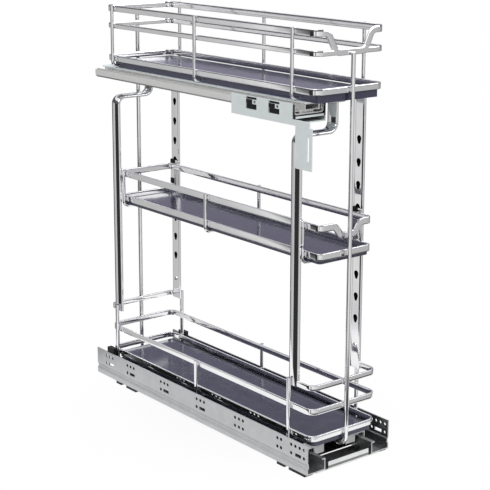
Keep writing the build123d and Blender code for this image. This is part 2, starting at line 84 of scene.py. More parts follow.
# Small parts, with sizes across, along the depth and up
BOLT_FACE = 0.0562
BOLT_DEPTH = 0.0009
BOLT_DOME = 0.0011
WINDOW_PLACES = (0.082, 0.1305)
WINDOW_HEIGHT = 0.5101
PAD_FACE = -0.0776
PAD_SIZE = (0.0009, 0.0138, 0.0059)
PAD_EDGE = 0.0002
STRIP_MIDDLE = -0.0482
STRIP_FORWARD = 0.0004
STRIP_RISE = 0.0015
STRIP_SIZE = (0.0500, 0.0010, 0.0029)
STRIP_EDGE = 0.0003
LIP_DROP = 0.0034
LIP_THICKNESS = 0.0015
LIP_SIDES = (-0.0185, 0.0125)
LIP_ENDS = (0.078, 0.110)
LIP_BENDS = (0.005, 0.006)
CLIP_SIZE = (0.0036, 0.011, 0.0085)
CLIP_EDGE = 0.001
CLIP_INSET = 0.0031
CLIP_OFFSET = 0.0035
TRAY_WIDTH = 0.104
TRAY_DEPTH = 0.085
TRAY_FLOOR = 0.0016
TRAY_LEVEL = 0.0052
TRAY_CORNER = 0.004
TRAY_GAP = 0.002
RIB_PLACES = (-0.030, -0.018, -0.006, 0.006, 0.018, 0.030)
RIB_LEVEL = 0.0068
RIB_WIDTH = 0.0022
RIB_EDGE = 0.0008
RIB_END = 0.004

# Steps, cuts and sides of round forms, and angles in degrees past which an edge stays sharp
BEND_STEPS = 7
EDGE_STEPS = 3
BAR_CUTS = 2
LEG_CUTS = 5
SHARP = 35.0
LEG_SHARP = 28.0
WIRE_SIDES = 20
STUD_SIDES = 18
STUD_RINGS = 4
SLOT_SIDES = 20

# Camera, fitted to the photograph
CAMERA_PLACE = Vector((-1.235, -1.578, 0.792))
CAMERA_TURN = math.radians(-38.58)
CAMERA_PITCH = math.radians(-12.82)
CAMERA_ROLL = math.radians(0.17)
CAMERA_LENS = 99.99
CAMERA_SHIFT = -0.092
CAMERA_SENSOR = 36.0

# Studio
FLOOR_REACH = 0.37
FLOOR_SIDES = 96
FLOOR_DROP = -0.0005
PAPER_FADE = (0.2, 0.8)
PAPER_LIT = 0.88
AMBIENT = 0.5
# What polished metal sees round it: turn from the camera in degrees, seen from the object, and brightness
STUDIO_TURNS = (
    (-180, 0.08),
    (-138, 0.06),
    (-130, 0.48),
    (-109, 0.54),
    (-103, 0.60),
    (-97, 0.80),
    (-93.5, 0.03),
    (-48, 0.03),
    (-43, 0.92),
    (-30, 0.92),
    (-27, 0.15),
    (-20, 0.15),
    (-17, 0.95),
    (12, 0.95),
    (18, 0.06),
    (56, 0.06),
    (62, 0.66),
    (82, 0.72),
    (96, 0.95),
    (102, 0.06),
    (168, 0.06),
    (180, 0.08),
)
# Spans over which the room above and below those panels changes, in the upward part of a direction
GROUND_EDGE = (-0.43, -0.38)
HORIZON = (-0.03, 0.03)
HIGH_EDGE = (0.40, 0.48)
ZENITH_EDGE = (0.75, 0.92)
# The same for the part that points to the camera, where the far side begins
FAR_EDGE = (-0.95, -0.88)
GROUND = (0.07, 0.07, 0.075, 1)
LOW_SKY = (0.10, 0.10, 0.105, 1)
FAR_SKY = (0.42, 0.40, 0.50, 1)
HIGH_SKY = (0.95, 0.95, 0.96, 1)
ZENITH = (0.50, 0.50, 0.51, 1)


def mid(node, axis):
    """Middle of a CAD node's box along an axis."""
    low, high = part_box(node)
    return (low[axis] + high[axis]) / 2


# Node tree helpers


def start_tree(name, kind, inputs, outputs):
    """A node group with named sockets: inputs are (name, socket kind, value), outputs (name, socket kind)."""
    tree = bpy.data.node_groups.new(name, kind)
    for label, socket_kind, value in inputs:
        socket = tree.interface.new_socket(label, in_out="INPUT", socket_type="NodeSocket" + socket_kind)
        if value is not None:
            socket.default_value = value
    for label, socket_kind in outputs:
        tree.interface.new_socket(label, in_out="OUTPUT", socket_type="NodeSocket" + socket_kind)
    return tree, tree.nodes.new("NodeGroupInput").outputs, tree.nodes.new("NodeGroupOutput").inputs


def put(tree, kind, values=(), **settings):
    """Adds a node. Values go to its inputs by name or number; a socket is linked, anything else is set."""
    node = tree.nodes.new(kind)
    for key, value in settings.items():
        setattr(node, key, value)
    for key, value in dict(values).items():
        if isinstance(value, bpy.types.NodeSocket):
            tree.links.new(value, node.inputs[key])
        else:
            node.inputs[key].default_value = value
    return node


def maths(tree, operation, *values):
    """A Math node on numbers and sockets; returns its output."""
    return put(tree, "ShaderNodeMath", dict(enumerate(values)), operation=operation).outputs[0]


def blend_colours(tree, factor, first, second):
    """A colour mix; returns its output."""
    return put(tree, "ShaderNodeMix", {0: factor, 6: first, 7: second}, data_type="RGBA").outputs[2]


def spread(tree, value, from_low, from_high, to_low, to_high):
    """Maps a value from one span to another, held at the ends."""
    spans = {"From Min": from_low, "From Max": from_high, "To Min": to_low, "To Max": to_high}
    return put(tree, "ShaderNodeMapRange", {"Value": value, **spans}).outputs[0]


def parts(tree, value):
    """The X, Y and Z of a vector."""
    return put(tree, "ShaderNodeSeparateXYZ", {0: value}).outputs


def vector(tree, **values):
    """A vector from those of its X, Y and Z that are given."""
    return put(tree, "ShaderNodeCombineXYZ", values).outputs[0]


def piece_place(tree):
    """The place on a piece, in Object coordinates."""
    return put(tree, "ShaderNodeTexCoord").outputs["Object"]


def noise(tree, place, scale, detail, roughness=0.5):
    """Cloudy noise at a place; returns its value."""
    values = {"Vector": place, "Scale": scale, "Detail": detail, "Roughness": roughness}
    return put(tree, "ShaderNodeTexNoise", values).outputs["Fac"]


# Shader groups


def smudge_group():
    """Hand marks and uneven polish: a soft mask on Object coordinates."""
    tree, given, out = start_tree(
        "Smudges",
        "ShaderNodeTree",
        [("Scale", "Float", 14.0), ("Low", "Float", 0.05), ("High", "Float", 0.16)],
        [("Roughness", "Float"), ("Mask", "Float")],
    )
    cloud = noise(tree, piece_place(tree), given["Scale"], 4.0, 0.62)
    mask = spread(tree, cloud, 0.38, 0.68, 0.0, 1.0)
    tree.links.new(spread(tree, mask, 0.0, 1.0, given["Low"], given["High"]), out["Roughness"])
    tree.links.new(mask, out["Mask"])
    return tree


def brush_group():
    """Fine lines left by rolling and drawing, stretched along a chosen direction."""
    tree, given, out = start_tree(
        "Drawn lines",
        "ShaderNodeTree",
        [("Across", "Vector", (900.0, 12.0, 900.0))],
        [("Height", "Float"), ("Mask", "Float")],
    )
    values = {0: piece_place(tree), 1: given["Across"]}
    stretched = put(tree, "ShaderNodeVectorMath", values, operation="MULTIPLY").outputs["Vector"]
    lines = noise(tree, stretched, 1.0, 3.0, 0.7)
    tree.links.new(lines, out["Height"])
    tree.links.new(spread(tree, lines, 0.42, 0.62, 0.0, 1.0), out["Mask"])
    return tree


def edge_group():
    """Worn edges: a patchy mask where the surface turns sharply."""
    tree, given, out = start_tree(
        "Edge wear",
        "ShaderNodeTree",
        [("Scale", "Float", 60.0), ("Amount", "Float", 0.5)],
        [("Mask", "Float")],
    )
    sharp = put(tree, "ShaderNodeNewGeometry").outputs["Pointiness"]
    patchy = noise(tree, piece_place(tree), given["Scale"], 5.0)
    edge = spread(tree, sharp, 0.51, 0.6, 0.0, 1.0)
    chance = spread(tree, patchy, 0.4, 0.6, 0.2, 1.0)
    worn = maths(tree, "MULTIPLY", maths(tree, "MULTIPLY", edge, chance), given["Amount"])
    tree.links.new(worn, out["Mask"])
    return tree


def dust_group():
    """Light dust on faces that look up."""
    tree, given, out = start_tree(
        "Dust",
        "ShaderNodeTree",
        [("Scale", "Float", 45.0), ("Amount", "Float", 0.2)],
        [("Mask", "Float")],
    )
    up = parts(tree, put(tree, "ShaderNodeNewGeometry").outputs["Normal"])["Z"]
    specks = noise(tree, piece_place(tree), given["Scale"], 8.0)
    level = spread(tree, up, 0.5, 1.0, 0.0, 1.0)
    patches = spread(tree, specks, 0.45, 0.7, 0.0, 1.0)
    mask = maths(tree, "MULTIPLY", level, patches)
    tree.links.new(maths(tree, "MULTIPLY", mask, given["Amount"]), out["Mask"])
    return tree


def spangle_group():
    """Zinc spangle: flat crystal patches of slightly different greys."""
    tree, given, out = start_tree(
        "Zinc spangle",
        "ShaderNodeTree",
        [
            ("Scale", "Float", 120.0),
            ("Dark", "Color", (0.5, 0.51, 0.52, 1)),
            ("Light", "Color", (0.62, 0.63, 0.64, 1)),
        ],
        [("Colour", "Color")],
    )
    cells = put(tree, "ShaderNodeTexVoronoi", {"Vector": piece_place(tree), "Scale": given["Scale"]})
    tone = put(tree, "ShaderNodeSeparateColor", {0: cells.outputs["Color"]}).outputs[0]
    tree.links.new(blend_colours(tree, tone, given["Dark"], given["Light"]), out["Colour"])
    return tree


def speckle_group():
    """Fine two-tone speckle of a laminated board."""
    tree, given, out = start_tree(
        "Board speckle",
        "ShaderNodeTree",
        [
            ("Scale", "Float", 900.0),
            ("Ground", "Color", (0.1, 0.1, 0.13, 1)),
            ("Fleck", "Color", (0.2, 0.2, 0.24, 1)),
        ],
        [("Colour", "Color"), ("Height", "Float")],
    )
    place = piece_place(tree)
    grit = noise(tree, place, given["Scale"], 2.0)
    cloud = noise(tree, place, 9.0, 3.0)
    fleck = spread(tree, grit, 0.48, 0.66, 0.0, 0.7)
    broad = spread(tree, cloud, 0.35, 0.7, 0.0, 0.25)
    share = maths(tree, "ADD", fleck, broad)
    tree.links.new(blend_colours(tree, share, given["Ground"], given["Fleck"]), out["Colour"])
    tree.links.new(grit, out["Height"])
    return tree


def bead_shade_group():
    """Lines pressed along a rolled sheet at two heights; materials also darken the colour along them as
    painted shade.
    """
    tree, given, out = start_tree(
        "Pressed lines and painted shade",
        "ShaderNodeTree",
        [("Lower", "Float", 0.0125), ("Upper", "Float", 0.0185), ("Half width", "Float", 0.0009)],
        [("Mask", "Float")],
    )
    height = parts(tree, piece_place(tree))["Z"]
    lines = []
    for level in (given["Lower"], given["Upper"]):
        away = maths(tree, "ABSOLUTE", maths(tree, "SUBTRACT", height, level))
        share = maths(tree, "DIVIDE", away, given["Half width"])
        lines.append(maths(tree, "MAXIMUM", maths(tree, "SUBTRACT", 1.0, share), 0.0))
    tree.links.new(maths(tree, "ADD", *lines), out["Mask"])
    return tree


def hole_shade_group():
    """Masks for painted shade: the walls of punched holes, turned away from every axis, and the faces that
    look to the middle.
    """
    tree, given, out = start_tree(
        "Painted shade of holes and inner faces",
        "ShaderNodeTree",
        [("Sheet", "Float", 0.3), ("Square", "Float", 0.975)],
        [("Mask", "Float"), ("Inner", "Float")],
    )
    across = parts(tree, piece_place(tree))["X"]
    facing = parts(tree, put(tree, "ShaderNodeNewGeometry").outputs["True Normal"])
    mask = maths(tree, "LESS_THAN", maths(tree, "ABSOLUTE", facing["X"]), given["Sheet"])
    for axis in ("Y", "Z"):
        turned = maths(tree, "LESS_THAN", maths(tree, "ABSOLUTE", facing[axis]), given["Square"])
        mask = maths(tree, "MULTIPLY", mask, turned)
    inward = maths(tree, "MULTIPLY", maths(tree, "SIGN", across), facing["X"])
    tree.links.new(mask, out["Mask"])
    tree.links.new(maths(tree, "LESS_THAN", inward, -0.5), out["Inner"])
    return tree


GROUPS = {}
for build_group in (
    smudge_group,
    brush_group,
    edge_group,
    dust_group,
    spangle_group,
    speckle_group,
    bead_shade_group,
    hole_shade_group,
):
    made = build_group()
    GROUPS[made.name] = made


def use(tree, group, values=()):
    """Places a shader group in a material with its own values."""
    node = tree.nodes.new("ShaderNodeGroup")
    node.node_tree = GROUPS[group]
    for key, value in dict(values).items():
        node.inputs[key].default_value = value
    return node.outputs


def start_material(name):
    """A new material, its tree and the inputs of its shader."""
    material = bpy.data.materials.new(name)
    material.use_nodes = True
    tree = material.node_tree
    return material, tree, tree.nodes["Principled BSDF"].inputs


def bump(tree, height, strength, distance):
    """A relief of the given height for a shader's normal."""
    values = {"Height": height, "Strength": strength, "Distance": distance}
    return put(tree, "ShaderNodeBump", values).outputs[0]


def chrome_material():
    """Bright plating on wires, rails and legs."""
    material, tree, shader = start_material("polished_chrome")
    smudges = use(tree, "Smudges", {"Scale": 16.0, "Low": 0.05, "High": 0.13})
    dust = use(tree, "Dust", {"Amount": 0.18})
    colour = blend_colours(tree, smudges["Mask"], (0.90, 0.90, 0.91, 1), (0.84, 0.84, 0.86, 1))
    colour = blend_colours(tree, dust["Mask"], colour, (0.62, 0.61, 0.6, 1))
    tree.links.new(colour, shader["Base Color"])
    tree.links.new(maths(tree, "ADD", smudges["Roughness"], dust["Mask"]), shader["Roughness"])
    shader["Metallic"].default_value = 1.0
    return material


def zinc_material(
    name,
    dark,
    light,
    low,
    high,
    metallic=1.0,
    beads_and_shade=None,
    bead_painted_shade=0.35,
    painted_hole_shade=False,
    edge=0.86,
    grain=0.12,
):
    """Sheet steel with spangle, rolled lines and worn edges; where asked for, beads with painted shade along
    them, and painted shade in punched holes and on faces that look to the middle.
    """
    material, tree, shader = start_material(name)
    spangle = use(tree, "Zinc spangle", {"Scale": 140.0, "Dark": (*dark, 1), "Light": (*light, 1)})
    smudges = use(tree, "Smudges", {"Scale": 11.0, "Low": low, "High": high})
    drawn = use(tree, "Drawn lines", {"Across": (900.0, 12.0, 900.0)})
    wear = use(tree, "Edge wear", {"Amount": 0.5})
    colour = blend_colours(tree, wear["Mask"], spangle["Colour"], (edge, edge, edge, 1))
    relief = drawn["Height"]
    if beads_and_shade:
        lower, upper, half_width = beads_and_shade
        levels = {"Lower": lower, "Upper": upper, "Half width": half_width}
        lines_and_shade = use(tree, "Pressed lines and painted shade", levels)
        # Painted shade: the colour goes towards black along the bead lines.
        shade = maths(tree, "MULTIPLY", lines_and_shade["Mask"], bead_painted_shade)
        colour = blend_colours(tree, shade, colour, (0.02, 0.02, 0.02, 1))
        relief = maths(tree, "ADD", relief, maths(tree, "MULTIPLY", lines_and_shade["Mask"], 2.0))
    if painted_hole_shade:
        # Painted shade: hole walls nearly black, and faces that look to the middle darker.
        walls = use(tree, "Painted shade of holes and inner faces")
        inner = maths(tree, "MULTIPLY", walls["Inner"], 0.75)
        colour = blend_colours(tree, inner, colour, (0.16, 0.17, 0.17, 1))
        colour = blend_colours(tree, walls["Mask"], colour, (0.015, 0.015, 0.016, 1))
    tree.links.new(colour, shader["Base Color"])
    lined = maths(tree, "MULTIPLY", drawn["Mask"], 0.05)
    tree.links.new(maths(tree, "ADD", smudges["Roughness"], lined), shader["Roughness"])
    tree.links.new(bump(tree, relief, grain, 0.0002), shader["Normal"])
    shader["Metallic"].default_value = metallic
    return material


def board_material():
    """Dark laminated board with a fine speckle and a smooth sheen."""
    material, tree, shader = start_material("slate_board")
    slate = {"Ground": (0.044, 0.044, 0.080, 1), "Fleck": (0.070, 0.069, 0.114, 1)}
    speckle = use(tree, "Board speckle", slate)
    smudges = use(tree, "Smudges", {"Scale": 8.0, "Low": 0.14, "High": 0.16})
    dust = use(tree, "Dust", {"Amount": 0.04})
    colour = blend_colours(tree, dust["Mask"], speckle["Colour"], (0.42, 0.41, 0.42, 1))
    tree.links.new(colour, shader["Base Color"])
    tree.links.new(smudges["Roughness"], shader["Roughness"])
    tree.links.new(bump(tree, speckle["Height"], 0.08, 0.0002), shader["Normal"])
    return material


def plastic_material(name, plain, worn, low, high, gloss):
    """Moulded plastic with a fine grain."""
    material, tree, shader = start_material(name)
    smudges = use(tree, "Smudges", {"Scale": 30.0, "Low": low, "High": high})
    drawn = use(tree, "Drawn lines", {"Across": (500.0, 500.0, 500.0)})
    wear = use(tree, "Edge wear", {"Amount": 0.4})
    colour = blend_colours(tree, wear["Mask"], (*plain, 1), (*worn, 1))
    marked = maths(tree, "MULTIPLY", smudges["Mask"], 0.3)
    tree.links.new(blend_colours(tree, marked, colour, (*worn, 1)), shader["Base Color"])
    tree.links.new(smudges["Roughness"], shader["Roughness"])
    tree.links.new(bump(tree, drawn["Height"], 0.1, 0.0001), shader["Normal"])
    shader["Specular IOR Level"].default_value = gloss
    return material


CHROME = chrome_material()
# On the cross strips the two bead lines are painted shade: nearly black bands across the lower part.
STRIP_ZINC = zinc_material(
    "strip_sheet",
    (0.70, 0.71, 0.71),
    (0.73, 0.74, 0.74),
    0.28,
    0.32,
    beads_and_shade=(0.0055, 0.0073, 0.0014),
    bead_painted_shade=0.95,
)
# Pressed lines with painted shade along them; painted shade in the punched holes and on the faces that look
# to the middle.
RAIL_ZINC = zinc_material(
    "rail_sheet",
    (0.54, 0.55, 0.563),
    (0.565, 0.575, 0.588),
    0.36,
    0.38,
    beads_and_shade=(0.0115, 0.0175, 0.0009),
    painted_hole_shade=True,
    edge=0.48,
    grain=0.05,
)
BRACKET_ZINC = zinc_material(
    "bracket_sheet", (0.85, 0.93, 0.93), (0.88, 0.96, 0.96), 0.34, 0.40, metallic=0.35
)
SLIDE_STEEL = zinc_material(
    "slide_steel", (0.80, 0.80, 0.79), (0.83, 0.83, 0.82), 0.18, 0.22, metallic=0.65
)
# Near-black steel for the runners and floor members: partly their own dark steel, partly painted shade for
# the dark inside of the base.
DARK_STEEL = zinc_material("dark_steel_and_painted_shade", (0.10, 0.10, 0.105), (0.15, 0.15, 0.155), 0.22, 0.32)
BOARD = board_material()
BLACK_PLASTIC = plastic_material(
    "black_plastic", (0.008, 0.008, 0.009), (0.02, 0.02, 0.022), 0.45, 0.55, 0.25
)
PALE_PLASTIC = plastic_material("pale_plastic", (0.88, 0.88, 0.89), (0.92, 0.92, 0.92), 0.3, 0.45, 0.5)
# Nearly black material for painted shade: in the legs' keyhole slots and on the floor of the dark tray at the
# base's front.
SHADE_PAINT = plastic_material("painted_shade_black", (0.006, 0.006, 0.007), (0.012, 0.012, 0.012), 0.5, 0.6, 0.1)


# Geometry trees


def bent_path(name, lines):
    """Edges along lines of points; every point is (x, y, z, bend radius), and a line may close on itself."""
    corners, edges, bends = [], [], []
    for points, closed in lines:
        first = len(corners)
        corners += [point[:3] for point in points]
        bends += [point[3] for point in points]
        edges += [(k, k + 1) for k in range(first, len(corners) - 1)]
        if closed:
            edges.append((len(corners) - 1, first))
    mesh = bpy.data.meshes.new(name)
    mesh.from_pydata(corners, edges, [])
    mesh.attributes.new("bend", "FLOAT", "POINT").data.foreach_set("value", bends)
    return mesh


def stored(tree, name, kind):
    """A named attribute of the geometry."""
    return put(tree, "GeometryNodeInputNamedAttribute", {"Name": name}, data_type=kind).outputs["Attribute"]


def bent_curve(tree, given):
    """The start of every path tree: edges to a curve with rounded bends."""
    curve = put(tree, "GeometryNodeMeshToCurve", {"Mesh": given["Geometry"]}).outputs["Curve"]
    bend = stored(tree, "bend", "FLOAT")
    return put(
        tree,
        "GeometryNodeFilletCurve",
        {"Curve": curve, "Count": given["Bend steps"], "Radius": bend, "Limit Radius": True},
        mode="POLY",
    ).outputs["Curve"]


def repeated(tree, points, shape, **turn):
    """The same shape at every point, turned where a rotation is given."""
    values = {"Points": points, "Instance": shape, **turn}
    return put(tree, "GeometryNodeInstanceOnPoints", values).outputs["Instances"]


def dress(tree, geometry, given, smooth=True):
    """The end of every tree: smooth shading, real geometry and its material."""
    shading = {"Geometry": geometry, "Shade Smooth": smooth}
    shaded = put(tree, "GeometryNodeSetShadeSmooth", shading).outputs[0]
    real = put(tree, "GeometryNodeRealizeInstances", {"Geometry": shaded}).outputs[0]
    finish = {"Geometry": real, "Material": given["Material"]}
    return put(tree, "GeometryNodeSetMaterial", finish).outputs[0]


def wire_tree():
    """Round wire along bent paths."""
    tree, given, out = start_tree(
        "Bent wire",
        "GeometryNodeTree",
        [
            ("Geometry", "Geometry", None),
            ("Wire radius", "Float", 0.003),
            ("Sides", "Int", WIRE_SIDES),
            ("Bend steps", "Int", BEND_STEPS),
            ("Material", "Material", None),
        ],
        [("Geometry", "Geometry")],
    )
    section = put(
        tree,
        "GeometryNodeCurvePrimitiveCircle",
        {"Resolution": given["Sides"], "Radius": given["Wire radius"]},
        mode="RADIUS",
    ).outputs["Curve"]
    tube = put(
        tree,
        "GeometryNodeCurveToMesh",
        {"Curve": bent_curve(tree, given), "Profile Curve": section, "Fill Caps": True},
    ).outputs["Mesh"]
    tree.links.new(dress(tree, tube, given), out["Geometry"])
    return tree


def crowned_section(tree, given):
    """An oblong with rounded edges and slightly bulging faces. X points outwards, Y across."""
    spare = maths(tree, "ADD", given["Outer crown"], given["Inner crown"])
    oblong = put(
        tree,
        "GeometryNodeCurvePrimitiveQuadrilateral",
        {"Width": maths(tree, "SUBTRACT", given["Thickness"], spare), "Height": given["Height"]},
        mode="RECTANGLE",
    ).outputs["Curve"]
    rounded = put(
        tree,
        "GeometryNodeFilletCurve",
        {"Curve": oblong, "Count": given["Edge steps"], "Radius": given["Edge radius"], "Limit Radius": True},
        mode="POLY",
    ).outputs["Curve"]
    cuts = {"Curve": rounded, "Cuts": given["Section cuts"]}
    fine = put(tree, "GeometryNodeSubdivideCurve", cuts).outputs["Curve"]
    place = parts(tree, put(tree, "GeometryNodeInputPosition").outputs[0])
    reach = maths(tree, "DIVIDE", maths(tree, "MULTIPLY", place["Y"], 2.0), given["Height"])
    bulge = maths(tree, "SUBTRACT", 1.0, maths(tree, "MULTIPLY", reach, reach))
    outside = maths(tree, "GREATER_THAN", place["X"], 0.0)
    outer = maths(tree, "MULTIPLY", maths(tree, "MULTIPLY", outside, given["Outer crown"]), bulge)
    inside = maths(tree, "SUBTRACT", 1.0, outside)
    inner = maths(tree, "MULTIPLY", maths(tree, "MULTIPLY", inside, given["Inner crown"]), bulge)
    uneven = maths(tree, "SUBTRACT", given["Inner crown"], given["Outer crown"])
    centring = maths(tree, "MULTIPLY", uneven, 0.5)
    shift = maths(tree, "ADD", maths(tree, "SUBTRACT", outer, inner), centring)
    moved = {"Geometry": fine, "Offset": vector(tree, X=shift)}
    return put(tree, "GeometryNodeSetPosition", moved).outputs[0]


def crowned_sweep(tree, given):
    """The crowned section taken along the bent path, with its outer face away from the line's inside."""
    values = {0: put(tree, "GeometryNodeInputTangent").outputs[0], 1: given["Across"]}
    outward = put(tree, "ShaderNodeVectorMath", values, operation="CROSS_PRODUCT").outputs[0]
    aims = {"Curve": bent_curve(tree, given), "Normal": outward}
    aimed = put(tree, "GeometryNodeSetCurveNormal", aims, mode="FREE").outputs["Curve"]
    return put(
        tree,
        "GeometryNodeCurveToMesh",
        {"Curve": aimed, "Profile Curve": crowned_section(tree, given), "Fill Caps": True},
    ).outputs["Mesh"]


BAR_INPUTS = [
    ("Geometry", "Geometry", None),
    ("Thickness", "Float", BAR),
    ("Height", "Float", 0.009),
    ("Edge radius", "Float", BAR_EDGE),
    ("Edge steps", "Int", EDGE_STEPS),
    ("Outer crown", "Float", BAR_CROWN),
    ("Inner crown", "Float", BAR_CROWN),
    ("Section cuts", "Int", BAR_CUTS),
    ("Across", "Vector", (0.0, 0.0, 1.0)),
    ("Bend steps", "Int", BEND_STEPS),
    ("Material", "Material", None),
]


def bar_tree():
    """Crowned flat bar on edge along bent paths."""
    tree, given, out = start_tree("Bent flat bar", "GeometryNodeTree", BAR_INPUTS, [("Geometry", "Geometry")])
    tree.links.new(dress(tree, crowned_sweep(tree, given), given), out["Geometry"])
    return tree


def slotted_leg_tree():
    """A crowned leg with a row of keyhole slots sunk in its flat inner face; the slots' faces take a nearly
    black material as painted shade.
    """
    extra = [
        ("First slot", "Vector", (0.0, 0.0, 0.0)),
        ("Slot pitch", "Float", SLOT_PITCH),
        ("Slots", "Int", SLOT_COUNT),
        ("Slot head", "Float", SLOT_HEAD),
        ("Slot foot", "Float", SLOT_FOOT),
        ("Slot drop", "Float", SLOT_DROP),
        ("Slot depth", "Float", SLOT_DEPTH),
        ("Slot shade", "Material", None),
    ]
    tree, given, out = start_tree(
        "Slotted leg", "GeometryNodeTree", BAR_INPUTS + extra, [("Geometry", "Geometry")]
    )
    sweep = crowned_sweep(tree, given)
    depth = maths(tree, "MULTIPLY", given["Slot depth"], 2.0)
    ends = []
    for radius, drop in ((given["Slot head"], 0.0), (given["Slot foot"], given["Slot drop"])):
        sizes = {"Vertices": SLOT_SIDES, "Radius": radius, "Depth": depth}
        disc = put(tree, "GeometryNodeMeshCylinder", sizes).outputs["Mesh"]
        lowered = vector(tree, Z=maths(tree, "MULTIPLY", drop, -1.0))
        ends.append(
            put(
                tree,
                "GeometryNodeTransform",
                {"Geometry": disc, "Translation": lowered, "Rotation": (0.0, math.pi / 2, 0.0)},
            ).outputs[0]
        )
    pair = tree.nodes.new("GeometryNodeJoinGeometry")
    for disc in ends:
        tree.links.new(disc, pair.inputs[0])
    keyhole = put(tree, "GeometryNodeConvexHull", {"Geometry": pair.outputs[0]}).outputs[0]
    row = put(
        tree,
        "GeometryNodeMeshLine",
        {
            "Count": given["Slots"],
            "Start Location": given["First slot"],
            "Offset": vector(tree, Z=given["Slot pitch"]),
        },
    ).outputs["Mesh"]
    placed = repeated(tree, row, keyhole)
    cutters = put(tree, "GeometryNodeRealizeInstances", {"Geometry": placed}).outputs[0]
    marked = put(
        tree,
        "GeometryNodeStoreNamedAttribute",
        {"Geometry": cutters, "Name": "slot", "Value": True},
        data_type="BOOLEAN",
        domain="FACE",
    ).outputs[0]
    cut = put(
        tree,
        "GeometryNodeMeshBoolean",
        {"Mesh 1": sweep, "Mesh 2": marked},
        operation="DIFFERENCE",
        solver="EXACT",
    ).outputs["Mesh"]
    # Painted shade: the faces the slots leave take the nearly black slot material.
    dark = put(
        tree,
        "GeometryNodeSetMaterial",
        {
            "Geometry": dress(tree, cut, given),
            "Selection": stored(tree, "slot", "BOOLEAN"),
            "Material": given["Slot shade"],
        },
    ).outputs[0]
    tree.links.new(dark, out["Geometry"])
    return tree


def stud_tree():
    """The same small turned or moulded part at every point of a start mesh, facing along its aim."""
    tree, given, out = start_tree(
        "Studs",
        "GeometryNodeTree",
        [
            ("Geometry", "Geometry", None),
            ("Radius", "Float", 0.003),
            ("Depth", "Float", 0.0012),
            ("Dome", "Float", 0.0006),
            ("Sides", "Int", STUD_SIDES),
            ("Rings", "Int", STUD_RINGS),
            ("Material", "Material", None),
        ],
        [("Geometry", "Geometry")],
    )
    rings = maths(tree, "MULTIPLY", given["Rings"], 2.0)
    ball = put(
        tree,
        "GeometryNodeMeshUVSphere",
        {"Segments": given["Sides"], "Rings": rings, "Radius": given["Radius"]},
    ).outputs["Mesh"]
    flatten = maths(tree, "DIVIDE", given["Dome"], given["Radius"])
    squash, lift = vector(tree, X=1.0, Y=1.0, Z=flatten), vector(tree, Z=given["Depth"])
    capped = {"Geometry": ball, "Translation": lift, "Scale": squash}
    dome = put(tree, "GeometryNodeTransform", capped).outputs[0]
    drum = put(
        tree,
        "GeometryNodeMeshCylinder",
        {"Vertices": given["Sides"], "Radius": given["Radius"], "Depth": given["Depth"]},
    ).outputs["Mesh"]
    half = vector(tree, Z=maths(tree, "MULTIPLY", given["Depth"], 0.5))
    raised = put(tree, "GeometryNodeTransform", {"Geometry": drum, "Translation": half}).outputs[0]
    stud = tree.nodes.new("GeometryNodeJoinGeometry")
    for part in (raised, dome):
        tree.links.new(part, stud.inputs[0])
    aim = stored(tree, "aim", "FLOAT_VECTOR")
    turned = put(tree, "FunctionNodeAlignRotationToVector", {"Vector": aim}, axis="Z").outputs[0]
    placed = repeated(tree, given["Geometry"], stud.outputs[0], Rotation=turned)
    tree.links.new(dress(tree, placed, given), out["Geometry"])
    return tree


def block_tree():
    """A small moulded block with softened edges at every point of a start mesh."""
    tree, given, out = start_tree(
        "Moulded blocks",
        "GeometryNodeTree",
        [
            ("Geometry", "Geometry", None),
            ("Size", "Vector", (0.004, 0.01, 0.004)),
            ("Edge radius", "Float", 0.0006),
            ("Material", "Material", None),
        ],
        [("Geometry", "Geometry")],
    )
    size = parts(tree, given["Size"])
    sides = {"Width": size["X"], "Height": size["Y"]}
    outline = put(tree, "GeometryNodeCurvePrimitiveQuadrilateral", sides, mode="RECTANGLE").outputs["Curve"]
    rounded = put(
        tree,
        "GeometryNodeFilletCurve",
        {"Curve": outline, "Count": EDGE_STEPS, "Radius": given["Edge radius"], "Limit Radius": True},
        mode="POLY",
    ).outputs["Curve"]
    low = vector(tree, Z=maths(tree, "MULTIPLY", size["Z"], -0.5))
    high = vector(tree, Z=maths(tree, "MULTIPLY", size["Z"], 0.5))
    spine = put(tree, "GeometryNodeCurvePrimitiveLine", {"Start": low, "End": high}).outputs["Curve"]
    solid = {"Curve": spine, "Profile Curve": rounded, "Fill Caps": True}
    block = put(tree, "GeometryNodeCurveToMesh", solid).outputs["Mesh"]
    placed = repeated(tree, given["Geometry"], block)
    tree.links.new(dress(tree, placed, given, smooth=False), out["Geometry"])
    return tree


TREES = {
    "wire": wire_tree(),
    "bar": bar_tree(),
    "leg": slotted_leg_tree(),
    "stud": stud_tree(),
    "block": block_tree(),
}


def grow(name, mesh, tree, values, body, replaced=(), sharp=SHARP):
    """Runs a geometry tree on a start mesh and keeps the result as a plain mesh that rides on its body."""
    source = bpy.data.objects.new(name + "_source", mesh)
    bpy.context.scene.collection.objects.link(source)
    modifier = source.modifiers.new("shape", "NODES")
    modifier.node_group = TREES[tree]
    for item in TREES[tree].interface.items_tree:
        if item.in_out == "INPUT" and item.name in values:
            modifier[item.identifier] = values[item.name]
    source.update_tag()
    bpy.context.view_layer.update()
    shaped = source.evaluated_get(bpy.context.evaluated_depsgraph_get())
    result = bpy.data.meshes.new_from_object(shaped)
    source.modifiers.remove(modifier)
    bpy.data.objects.remove(source)
    result.name = name
    result.set_sharp_from_angle(angle=math.radians(sharp))
    piece = bpy.data.objects.new(name, result)
    bpy.context.scene.collection.objects.link(piece)
    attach(piece, body)
    if replaced:
        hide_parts(*replaced)
    return piece


